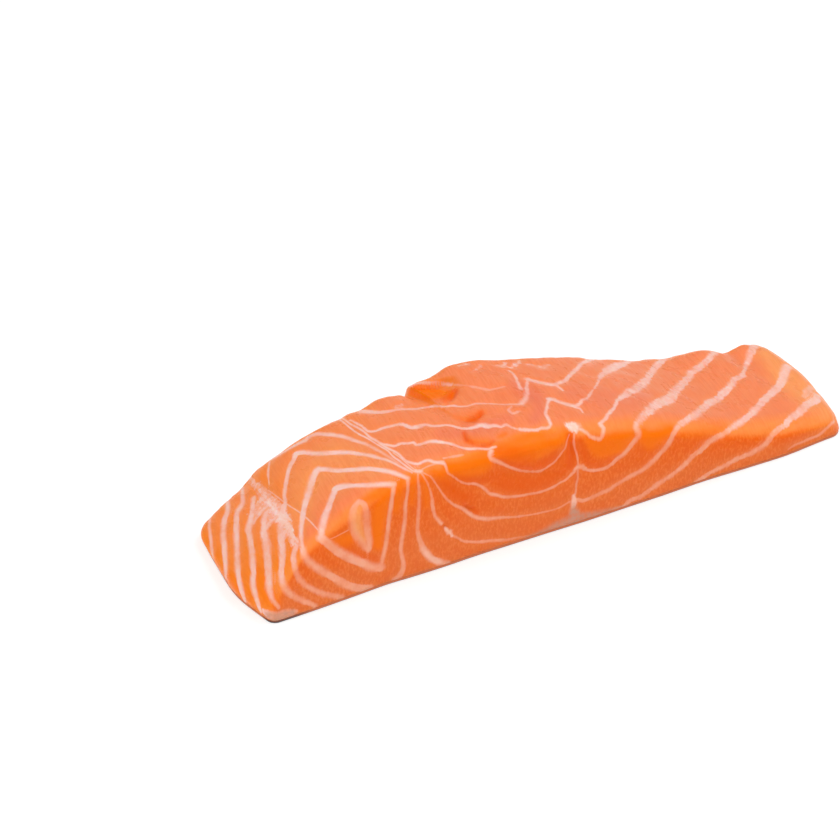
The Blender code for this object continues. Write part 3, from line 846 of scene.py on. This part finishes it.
def reach_far_edge(tree, line):
    """The line, run on over the top from its end nearest to the far cut face."""
    if line[0, 1] > line[-1, 1]:
        line = line[::-1]
    run = line[-1] - line[-4]
    slope = np.clip(run[0] / max(run[1], LEAST_RUN), -STEEPEST_REACH, STEEPEST_REACH)
    added = []
    for y in np.arange(line[-1, 1] + REACH_STEP, FAR_EDGE, REACH_STEP):
        x = line[-1, 0] + slope * (y - line[-1, 1])
        hit = tree.ray_cast(Vector((x, y, WELL_ABOVE)), Vector((0, 0, -1)))[0]
        if hit is not None:
            added.append((*hit, *line[-1, 3:]))
    return np.concatenate([line, added]) if added else line


def nearest_on_line(points, line):
    """Offset of each point to the nearest place on the line, and the line's other columns there."""
    size = points.shape[1]
    start, run = line[:-1, :size], np.diff(line[:, :size], axis=0)
    share = np.einsum("mki,ki->mk", points[:, None] - start, run) / np.maximum((run**2).sum(axis=1), 1e-9)
    share = np.clip(share, 0, 1)
    gap = start + share[:, :, None] * run - points[:, None]
    half = line[:-1, size] + np.diff(line[:, size]) * share
    best = (np.linalg.norm(gap, axis=2) - half).argmin(axis=1)
    rows = np.arange(len(points))
    others = line[best, size:] + (line[best + 1, size:] - line[best, size:]) * share[rows, best][:, None]
    return gap[rows, best], others


def far_copy(line):
    """The part of a line that lies on the near cut face, copied to the far one."""
    x, y, z = (line[:, :3] + (*BOX_MIDDLE, 0)).T
    low = y < along(NEAR_FOOT, x) + FACE_DEPTH
    if low.sum() < LEAST_PLACES - 1:
        return None
    x, z = x[low], z[low]
    near_x = np.array([places[0] for places in FAR_SHIFT])
    far_x = np.array([places[1] for places in FAR_SHIFT])
    up = (z - FLESH_FOOT) / (along(NEAR_TOP, x) - FLESH_FOOT)
    up += COPY_RAISE * ramp(*COPY_TOP, up)
    there = np.interp(x, near_x, far_x)
    height = FLESH_FOOT + up * (along(FAR_TOP, there) - FLESH_FOOT)
    copied = np.column_stack([there, along(FAR_FOOT, there), height, line[low, 3:]])
    return copied - (*BOX_MIDDLE, 0, 0, 0, 0)


def lay_all_lines(tree):
    """Every fat line on the flesh, as rows of place, half width, paleness and raggedness."""
    lines = []
    for name, (widths, ragged, pales, points) in FAT_LINES.items():
        line = lay_line(tree, widths, pales, points)
        if line is None:
            continue
        if name in FAR_REACHING:
            line = reach_far_edge(tree, line)
        line = np.column_stack([line, np.full(len(line), ragged)])
        lines.append(line)
        copied = far_copy(line)
        if copied is not None:
            lines.append(copied)
    return lines


def line_groups(lines):
    """The lines in groups of lines that keep clear of each other, so that their fields don't mix."""
    groups = [[] for _ in range(LINE_GROUPS)]
    for line in lines:
        gaps = []
        for group in groups:
            apart = [np.linalg.norm(line[:, None, :3] - other[:, :3], axis=2).min() for other in group]
            gaps.append(min(apart, default=FAR_AWAY))
        clear = [number for number, gap in enumerate(gaps) if gap > LINE_CLEARANCE]
        groups[clear[0] if clear else int(np.argmax(gaps))].append(line)
    return groups


def line_field(places, lines):
    """For each corner: offset to the nearest line, its length, and the line's half width, paleness and
    raggedness."""
    offset = np.tile((FAR_AWAY, 0.0, 0.0), (len(places), 1))
    reach = np.full(len(places), FAR_AWAY)
    kind = np.zeros((len(places), 3))
    for line in lines:
        low = line[:, :3].min(axis=0) - LINE_MARGIN
        high = line[:, :3].max(axis=0) + LINE_MARGIN
        near = np.nonzero(((places > low) & (places < high)).all(axis=1))[0]
        if not len(near):
            continue
        gap, found = nearest_on_line(places[near], line)
        length = np.linalg.norm(gap, axis=1)
        closer = length - found[:, 0] < reach[near] - kind[near, 0]
        rows = near[closer]
        offset[rows] = gap[closer]
        reach[rows] = length[closer]
        kind[rows] = found[closer]
    return offset, reach, kind


def zone_field(kind, pixels, facing):
    """Strength of the zones of one kind at each corner."""
    field = np.zeros(len(pixels))
    for zone_kind, strength, halves, soft, points in ZONES.values():
        if zone_kind != kind:
            continue
        line = smooth_pixels(points, ZONE_STEP)
        middle = (line.min(axis=0) + line.max(axis=0)) / 2
        reach = np.ptp(line, axis=0) / 2 + max(halves) + 2 * soft
        near = (np.abs(pixels - middle) < reach).all(axis=1)
        line = np.column_stack([line, spread(halves, len(line))])
        gap, found = nearest_on_line(pixels[near], line)
        outside = np.linalg.norm(gap, axis=1) - found[:, 0]
        field[near] = np.maximum(field[near], strength * (1 - ramp(-soft, soft, outside)))
    return field * facing


def gouge_field(pixels, facing):
    """Depth of the small gouges at each corner."""
    depth = np.zeros(len(pixels))
    for (x, y), half_length, half_width, turn, deepest in GOUGES.values():
        cos, sin = math.cos(math.radians(turn)), math.sin(math.radians(turn))
        away = pixels - (x, y)
        u = (away[:, 0] * cos + away[:, 1] * sin) / half_length
        v = (-away[:, 0] * sin + away[:, 1] * cos) / half_width
        depth += deepest * np.exp(-(u**2 + v**2))
    return depth * facing


def lumps(places, stretch, seed):
    """Smooth noise from -1 to 1 at each place, with features about one unit wide after the stretch."""
    scaled = places * stretch + seed
    return np.array([noise.noise(Vector(row)) for row in scaled])


def new_object(name, places, faces, fields, look):
    """An object with the places in mm, its fields as attributes of its corners, and its material."""
    mesh = bpy.data.meshes.new(name)
    mesh.from_pydata((places * MM).tolist(), [], faces)
    for field, values in fields.items():
        vector = values.ndim == 2
        made = mesh.attributes.new(field, "FLOAT_VECTOR" if vector else "FLOAT", "POINT")
        made.data.foreach_set("vector" if vector else "value", values.astype(np.float32).ravel())
    mesh.materials.append(look)
    mesh.shade_smooth()
    piece = bpy.data.objects.new(name, mesh)
    bpy.context.collection.objects.link(piece)
    return piece


def flesh_relief(places, outside, gouges, up):
    """How far the flesh stands out: fat lines lie low, lumps are everywhere, and gouges cut in."""
    relief = PROUD - LINE_DEPTH * np.exp(-((outside / LINE_SPREAD) ** 2))
    for height, stretch, seed in LUMPS:
        relief += height * lumps(places, stretch, seed)
    return (relief - gouges) * ramp(0.0, RELIEF_FOOT, up)


def flesh_zones(pixels, facing, normals, gouges, up):
    """What kind of face the flesh is at each corner, and its zones of another colour, painted light and
    painted shade among them.
    """
    sideways = np.abs(normals[:, 1])
    cut = ramp(*CUT_FACING, sideways)
    painted_far_glow = ramp(*FAR_GLOW_RISE, up) * (1 - ramp(*FAR_GLOW_FALL, up)) * (normals[:, 1] > 0) * cut
    painted_bend_light = ramp(*BEND_IN, sideways) * (1 - ramp(*BEND_OUT, sideways)) * ramp(*BEND_RISE, up)
    fields = {kind: zone_field(kind, pixels, facing) for kind in (*ZONE_COLOURS, "beige")}
    # Painted glow under the top edge of the far cut face, where light shines through the flesh
    fields["painted_glow"] = np.maximum(fields["painted_glow"], PAINTED_EDGE_LIGHT * painted_far_glow)
    # Painted light on the bends between the top and the cut faces
    fields["painted_light"] = np.maximum(fields["painted_light"], PAINTED_EDGE_LIGHT * painted_bend_light)
    # Painted shade in the gouges, darker where a gouge is deeper
    fields["painted_shade"] = np.maximum(fields["painted_shade"], np.clip(gouges * GOUGE_PAINTED_SHADE, 0, 1))
    return fields | {"cut": cut, "end": ramp(*END_FACING, -normals[:, 0]), "up": up}


def make_flesh(look):
    """The flesh, with low relief along its fat lines and small gouges."""
    lattice = flesh_lattice()
    block = np.array(lattice.block)
    places = shaped(block, FLESH_FOOT)
    places[:, :2] -= BOX_MIDDLE
    normals = vertex_normals(places, lattice.faces)
    tree = BVHTree.FromPolygons(places.tolist(), lattice.faces)
    fields = {}
    outside = np.full(len(places), FAR_AWAY)
    for number, lines in enumerate(line_groups(lay_all_lines(tree))):
        offset, reach, kind = line_field(places, lines)
        fields |= {f"offset_{number}": offset, f"reach_{number}": reach, f"kind_{number}": kind}
        outside = np.minimum(outside, np.maximum(reach - kind[:, 0], 0))
    pixels = to_pixels(places)
    _, _, back, _ = camera_axes()
    facing = ramp(*FACING, normals @ back)
    gouges = gouge_field(pixels, facing)
    up = block[:, 2] / HEIGHT
    fields |= flesh_zones(pixels, facing, normals, gouges, up)
    places = places + normals * flesh_relief(places, outside, gouges, up)[:, None]
    piece = new_object("flesh_visible", places, lattice.faces, fields, look)
    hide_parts("flesh")
    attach(piece, "root")


def make_skin(look):
    """The skin: a thin sheet with scales in low relief below and a rounded cut edge."""
    nx, ny = SKIN_STEPS
    xs, ys = np.linspace(0, LENGTH, nx + 1), np.linspace(0, WIDTH, ny + 1)
    flat = shaped([(x, y, 0.0) for x in xs for y in ys], FLESH_FOOT)
    flat[:, :2] -= BOX_MIDDLE
    flat[:, 2] = 0.0
    count = len(flat)
    rows, columns = np.divmod(np.arange(count), ny + 1)
    on_end, on_side = np.isin(rows, (0, nx)), np.isin(columns, (0, ny))
    inward = np.zeros_like(flat)
    inward[:, 0] = -np.sign(flat[:, 0]) * on_end
    inward[:, 1] = -np.sign(flat[:, 1]) * on_side
    below = flat + inward * LOWER_INSET
    below[:, 2] = np.where(on_end | on_side, LOWER_EDGE, SCALE_FOOT + SCALE_RELIEF * scale_height(flat))
    widest = flat + (0, 0, WIDEST_RING)
    above = flat + inward * UPPER_INSET
    above[:, 2] = FLESH_FOOT - SKIN_GAP

    def index(i, j):
        return i * (ny + 1) + j

    faces = []
    for i in range(nx):
        for j in range(ny):
            faces.append([index(i, j + 1), index(i + 1, j + 1), index(i + 1, j), index(i, j)])
    ring = [index(i, 0) for i in range(nx)] + [index(nx, j) for j in range(ny)]
    ring += [index(i, ny) for i in range(nx, 0, -1)] + [index(0, j) for j in range(ny, 0, -1)]
    length = len(ring)
    for n in range(length):
        after = (n + 1) % length
        faces.append([ring[n], ring[after], count + after, count + n])
        faces.append([count + n, count + after, count + length + after, count + length + n])
    faces.append([count + length + n for n in range(length)])
    places = np.concatenate([below, widest[ring], above[ring]])
    x, y, z = places.T
    corner = (1 - ramp(*CORNER_X, x)) * (1 - ramp(*CORNER_Y, y))
    low = 1 - CORNER_FADE * ramp(*CORNER_Z, z)
    fields = {"cut_edge": ramp(*CUT_EDGE, z) * (1 - CORNER_DARK * corner * low)}
    piece = new_object("skin_visible", places, faces, fields, look)
    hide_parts("skin")
    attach(piece, "root")


def scale_height(places):
    """Height, 0 to 1, of overlapping scales in staggered rows along Y."""
    row = places[:, 1] / SCALE_LENGTH
    column = places[:, 0] / SCALE_WIDTH
    height = np.zeros(len(places))
    for stagger in (0.0, 0.5):
        u = (column + stagger) % 1.0 - 0.5
        v = (row + stagger) % 1.0
        round_front = np.sqrt(np.clip(0.25 - u**2, 0, None)) * 2
        height = np.maximum(height, np.where(v < round_front, v, 0.0))
    return height


def linear(colour):
    """A colour of 0 to 255 as the shader takes it."""
    values = np.array(colour, float) / 255
    values = np.where(values <= 0.04045, values / 12.92, ((values + 0.055) / 1.055) ** 2.4)
    return (*values.tolist(), 1.0)


class Tree:
    """Short calls that build a material's nodes."""

    def __init__(self, name):
        self.material = bpy.data.materials.new(name)
        self.material.use_nodes = True
        self.nodes = self.material.node_tree.nodes
        self.shader = self.nodes["Principled BSDF"]
        self.place = self.nodes.new("ShaderNodeTexCoord").outputs["Object"]

    def put(self, value, socket):
        """Links an output to the socket, or sets it to a number or colour."""
        if isinstance(value, bpy.types.NodeSocket):
            self.material.node_tree.links.new(value, socket)
        else:
            socket.default_value = value

    def set(self, name, value):
        """Sets or links one of the shader's inputs."""
        self.put(value, self.shader.inputs[name])

    def math(self, operation, first, second, clamp=False):
        node = self.nodes.new("ShaderNodeMath")
        node.operation = operation
        node.use_clamp = clamp
        self.put(first, node.inputs[0])
        self.put(second, node.inputs[1])
        return node.outputs[0]

    def plus(self, first, second):
        return self.math("ADD", first, second)

    def minus(self, first, second, clamp=False):
        return self.math("SUBTRACT", first, second, clamp)

    def times(self, first, second, clamp=False):
        return self.math("MULTIPLY", first, second, clamp)

    def most(self, first, second):
        return self.math("MAXIMUM", first, second)

    def mix(self, share, first, second):
        node = self.nodes.new("ShaderNodeMix")
        node.data_type = "RGBA"
        self.put(share, node.inputs["Factor"])
        self.put(first, node.inputs["A"])
        self.put(second, node.inputs["B"])
        return node.outputs["Result"]

    def tint(self, share, first, second):
        """The first colour multiplied by the second one, by a share."""
        result = self.mix(share, first, second)
        result.node.blend_type = "MULTIPLY"
        return result

    def field(self, name, output="Fac"):
        node = self.nodes.new("ShaderNodeAttribute")
        node.attribute_name = name
        return node.outputs[output]

    def step(self, value, low, high, start=0.0, end=1.0):
        """Smooth step of the value."""
        node = self.nodes.new("ShaderNodeMapRange")
        node.interpolation_type = "SMOOTHSTEP"
        self.put(value, node.inputs["Value"])
        self.put(low, node.inputs["From Min"])
        self.put(high, node.inputs["From Max"])
        node.inputs["To Min"].default_value = start
        node.inputs["To Max"].default_value = end
        return node.outputs["Result"]

    def noise(self, per_mm, detail=3.0, roughness=0.55, turn=0.0):
        """Noise from 0 to 1 with the given features per mm along X, Y and Z, turned about Z by degrees."""
        turned = self.nodes.new("ShaderNodeMapping")
        turned.inputs["Rotation"].default_value = (0.0, 0.0, math.radians(turn))
        self.put(self.place, turned.inputs["Vector"])
        mapping = self.nodes.new("ShaderNodeMapping")
        mapping.inputs["Scale"].default_value = [value / MM for value in per_mm]
        self.put(turned.outputs[0], mapping.inputs["Vector"])
        node = self.nodes.new("ShaderNodeTexNoise")
        node.inputs["Scale"].default_value = 1.0
        node.inputs["Detail"].default_value = detail
        node.inputs["Roughness"].default_value = roughness
        self.put(mapping.outputs[0], node.inputs["Vector"])
        return node.outputs[0]

    def bump(self, height, distance, strength):
        node = self.nodes.new("ShaderNodeBump")
        node.inputs["Distance"].default_value = distance
        node.inputs["Strength"].default_value = strength
        self.put(height, node.inputs["Height"])
        self.set("Normal", node.outputs[0])


def line_masks(tree, fibre, mottled):
    """How strongly a fat line shows, how much whiter than plain it is there, partly as white fat and partly
    as a painted glint, and a halo round it.
    """
    rough = tree.times(tree.minus(tree.noise(*LINE_ROUGH), 0.5), ROUGH_EDGE)
    jag = tree.times(tree.minus(fibre, 0.5), JAGGED_EDGE)
    wobble = tree.plus(rough, jag)
    blur = tree.step(tree.noise(*LINE_BLUR), 0.35, 0.65, 0.25, 0.8)
    holes = tree.step(tree.noise(*LINE_HOLES), 0.42, 0.62, 0.8, 0.0)
    masks = (0.0, 0.0, 0.0)
    for number in range(LINE_GROUPS):
        length = tree.nodes.new("ShaderNodeVectorMath")
        length.operation = "LENGTH"
        tree.put(tree.field(f"offset_{number}", "Vector"), length.inputs[0])
        kind = tree.nodes.new("ShaderNodeSeparateXYZ")
        tree.put(tree.field(f"kind_{number}", "Vector"), kind.inputs[0])
        half, pale, ragged = kind.outputs
        reach = tree.minus(tree.field(f"reach_{number}"), REACH_SLACK)
        distance = tree.most(length.outputs["Value"], reach)
        distance = tree.plus(distance, tree.times(wobble, ragged))
        inside = tree.minus(distance, half)
        thin_soft = tree.plus(tree.times(half, THIN_SOFTNESS[0]), THIN_SOFTNESS[1])
        soft = tree.math("MINIMUM", blur, thin_soft)
        line = tree.step(inside, tree.times(soft, -1.0), soft, 1.0, 0.0)
        lace = tree.minus(1.0, tree.times(holes, ragged), True)
        share = tree.times(tree.times(line, tree.times(mottled, lace)), pale, True)
        # Whiter than plain fat where the paleness is over 1: white fat in places, a painted glint in others
        white_and_glint = tree.times(line, tree.times(tree.minus(pale, 1.0), WHITENING_AND_GLINT), True)
        halo = tree.times(tree.step(inside, 0.0, HALO_WIDTH, 1.0, 0.0), pale)
        masks = [tree.most(old, new) for old, new in zip(masks, (share, white_and_glint, halo))]
    return masks


def flesh_look():
    """Raw salmon: orange muscle with fibres, pale fat lines and a moist surface."""
    tree = Tree("raw_salmon_looks")
    fibre = tree.noise(*FIBRE, turn=HATCH_TURN)
    speckle, broad, cloud = tree.noise(*SPECKLE), tree.noise(*BROAD), tree.noise(*CLOUD)
    cut, end = tree.field("cut"), tree.field("end")
    mottled = tree.step(cloud, 0.35, 0.6, 0.72, 1.0)
    line, white_and_glint, halo = line_masks(tree, fibre, mottled)
    across = tree.most(cut, end)
    grain = tree.plus(tree.times(fibre, tree.minus(1.0, across)), tree.times(speckle, across))
    cut_colour = tree.mix(tree.step(tree.field("up"), 0.15, 0.7), linear(CUT_LOW_COLOUR), linear(CUT_COLOUR))
    colour = tree.mix(cut, linear(TOP_COLOUR), cut_colour)
    colour = tree.mix(end, colour, linear(END_COLOUR))
    # Share that is clear of painted glow and painted shade, where the dark grain shows fully
    clear_of_painted_glow_and_shade = tree.minus(1.0, tree.most(tree.field("painted_glow"), tree.field("painted_shade")), True)
    flecks = tree.times(tree.step(speckle, 0.48, 0.68), tree.times(cut, FLECK_SHARE))
    colour = tree.mix(flecks, colour, linear(FLECK))
    colour = tree.mix(tree.times(halo, HALO_SHARE), colour, linear(ZONE_COLOURS["pale"]))
    patch = tree.times(tree.minus(cloud, 0.5), ZONE_UNEVEN)
    # Zone colours, painted glow, painted light and painted shade among them
    for zone, shade in ZONE_COLOURS.items():
        uneven = tree.times(tree.field(zone), tree.plus(patch, 1.0), True)
        colour = tree.mix(uneven, colour, linear(shade))
    dark_grain = tree.times(tree.step(grain, 0.38, 0.6, 0.36, 0.0), tree.step(clear_of_painted_glow_and_shade, 0.0, 1.0, 0.3, 1.0))
    dark_grain = tree.times(dark_grain, tree.step(broad, 0.35, 0.6, 0.45, 1.0))
    colour = tree.tint(dark_grain, colour, GRAIN_TINT)
    colour = tree.tint(tree.step(broad, 0.4, 0.62, 0.2, 0.0), colour, BROAD_TINT)
    colour = tree.mix(line, colour, tree.mix(cut, linear(TOP_LINE), linear(CUT_LINE)))
    # White fat and painted glints on the fat lines
    colour = tree.mix(white_and_glint, colour, linear(WHITE_FAT_AND_GLINT))
    fat = tree.times(tree.field("beige"), tree.step(tree.noise(*FAT_CLOUD), 0.3, 0.6, 0.6, 1.0))
    colour = tree.mix(fat, colour, linear(BEIGE))
    tree.set("Base Color", colour)
    tree.set("Roughness", tree.step(cloud, 0.3, 0.7, 0.24, 0.42))
    tree.bump(tree.plus(grain, tree.times(line, -0.25)), 0.00012, 0.5)
    tree.set("Subsurface Weight", 0.25)
    tree.set("Subsurface Radius", (1.0, 0.35, 0.12))
    tree.set("Subsurface Scale", 0.0022)
    tree.set("Specular IOR Level", 0.07)
    tree.set("Coat Weight", 0.02)
    tree.set("Coat Roughness", 0.1)
    return tree.material


def skin_look():
    """Salmon skin: dark with spots at the fish's back, silver towards the belly, pale where it is cut."""
    tree = Tree("salmon_skin_looks")
    cells = tree.nodes.new("ShaderNodeTexVoronoi")
    mapping = tree.nodes.new("ShaderNodeMapping")
    mapping.inputs["Scale"].default_value = [1 / SCALE_WIDTH / MM, 1 / SCALE_LENGTH / MM, 0.0]
    tree.put(tree.place, mapping.inputs["Vector"])
    tree.put(mapping.outputs[0], cells.inputs["Vector"])
    cells.inputs["Scale"].default_value = 1.0
    from_scale = cells.outputs["Distance"]
    axes = tree.nodes.new("ShaderNodeSeparateXYZ")
    tree.put(tree.place, axes.inputs[0])
    belly = tree.step(axes.outputs["X"], *BELLY_TURN)
    colour = tree.mix(belly, BACK_SKIN, BELLY_SKIN)
    colour = tree.tint(tree.step(tree.noise(*SKIN_CLOUD), 0.55, 0.7), colour, SKIN_CLOUD_TINT)
    spots = tree.times(tree.step(tree.noise(*SKIN_SPOTS), 0.60, 0.64), tree.minus(1.0, belly, True))
    colour = tree.mix(spots, colour, SPOT_SKIN)
    colour = tree.tint(tree.step(from_scale, 0.2, 0.7, 0.0, 0.6), colour, SCALE_TINT)
    tree.set("Base Color", tree.mix(tree.field("cut_edge"), colour, linear(CUT_SKIN)))
    tree.set("Roughness", tree.step(from_scale, 0.1, 0.8, 0.28, 0.5))
    tree.set("Metallic", 0.15)
    tree.bump(tree.noise(*SKIN_GRAIN), 0.0001, 0.4)
    return tree.material


def make_floor():
    """A plain near-white floor."""
    tree = Tree("floor_looks")
    tree.set("Base Color", FLOOR_COLOUR)
    tree.set("Roughness", 0.9)
    tree.set("Specular IOR Level", 0.1)
    tree.set("Emission Color", (1.0, 1.0, 1.0, 1.0))
    tree.set("Emission Strength", FLOOR_GLOW)
    half = FLOOR_SIZE / 2
    mesh = bpy.data.meshes.new("floor")
    corners = [(-half, -half, 0), (half, -half, 0), (half, half, 0), (-half, half, 0)]
    mesh.from_pydata(corners, [], [(0, 1, 2, 3)])
    mesh.materials.append(tree.material)
    floor = bpy.data.objects.new("floor", mesh)
    bpy.context.collection.objects.link(floor)


def add_lamp(name, place, size, power, colour):
    """A square soft light that faces the portion."""
    data = bpy.data.lights.new(name, "AREA")
    data.size = size
    data.energy = power
    data.color = colour
    lamp = bpy.data.objects.new(name, data)
    lamp.location = place
    lamp.rotation_mode = "QUATERNION"
    lamp.rotation_quaternion = (-Vector(place)).to_track_quat("-Z", "Y")
    bpy.context.collection.objects.link(lamp)


def light_scene():
    """Soft light from the upper left and all round, and a plain picture transform."""
    world = bpy.data.worlds.new("world")
    world.use_nodes = True
    background = world.node_tree.nodes["Background"]
    background.inputs["Color"].default_value = (1.0, 1.0, 1.0, 1.0)
    background.inputs["Strength"].default_value = WORLD_LIGHT
    bpy.context.scene.world = world
    bpy.context.scene.view_settings.view_transform = "Standard"
    for name, values in LAMPS.items():
        add_lamp(name, *values)


make_camera()
make_floor()
light_scene()
make_flesh(flesh_look())
make_skin(skin_look())
